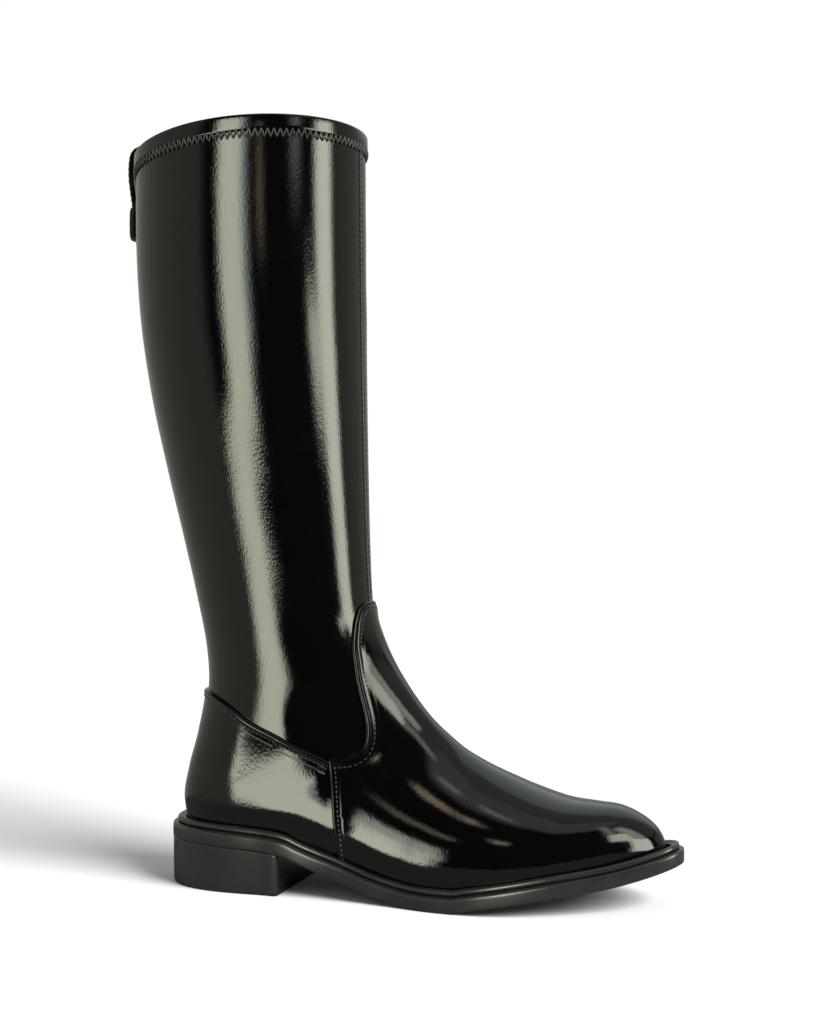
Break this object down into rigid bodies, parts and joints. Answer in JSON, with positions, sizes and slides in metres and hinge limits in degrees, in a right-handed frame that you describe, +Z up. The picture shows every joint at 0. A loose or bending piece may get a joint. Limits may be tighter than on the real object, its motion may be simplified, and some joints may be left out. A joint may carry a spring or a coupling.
{
  "type": "knee boot",
  "caption": "Black stretch patent leather knee boot with a low block heel, piped vamp, inner side zip with a metal pull, and a snap strap at the back of the collar.",
  "frame": {"origin": "on the floor under the middle of the boot's box", "axes": "+X towards the toe, +Y towards the inner side of the foot, +Z up"},
  "size_m": [0.3064, 0.1202, 0.4025],
  "materials": {
    "patent": "high-gloss black stretch patent with a fine grain",
    "patent_smooth": "high-gloss smooth black patent",
    "zip_tape": "black woven tape with a closed chain",
    "metal": "pale nickel",
    "sole": "satin black",
    "lining": "light tan lining"
  },
  "bodies": {
    "boot": {"upper": "patent", "vamp": "patent_smooth", "counter": "patent_smooth", "collar_band": "patent", "zip": "zip_tape", "pull_strap": "patent", "stud": "metal", "welt": "sole", "outsole": "sole", "heel": "sole", "insole": "lining", "zip_slider": "metal"},
    "pull_tab": {"zip_pull": "metal"}
  },
  "joints": [
    {"name": "pull_tab_hinge", "type": "hinge", "parent": "boot", "child": "pull_tab", "pos_m": [-0.09765, 0.05727, 0.37081], "axis": [0.9568, 0.2204, 0.1898], "range_deg": [0, 170]}
  ]
}
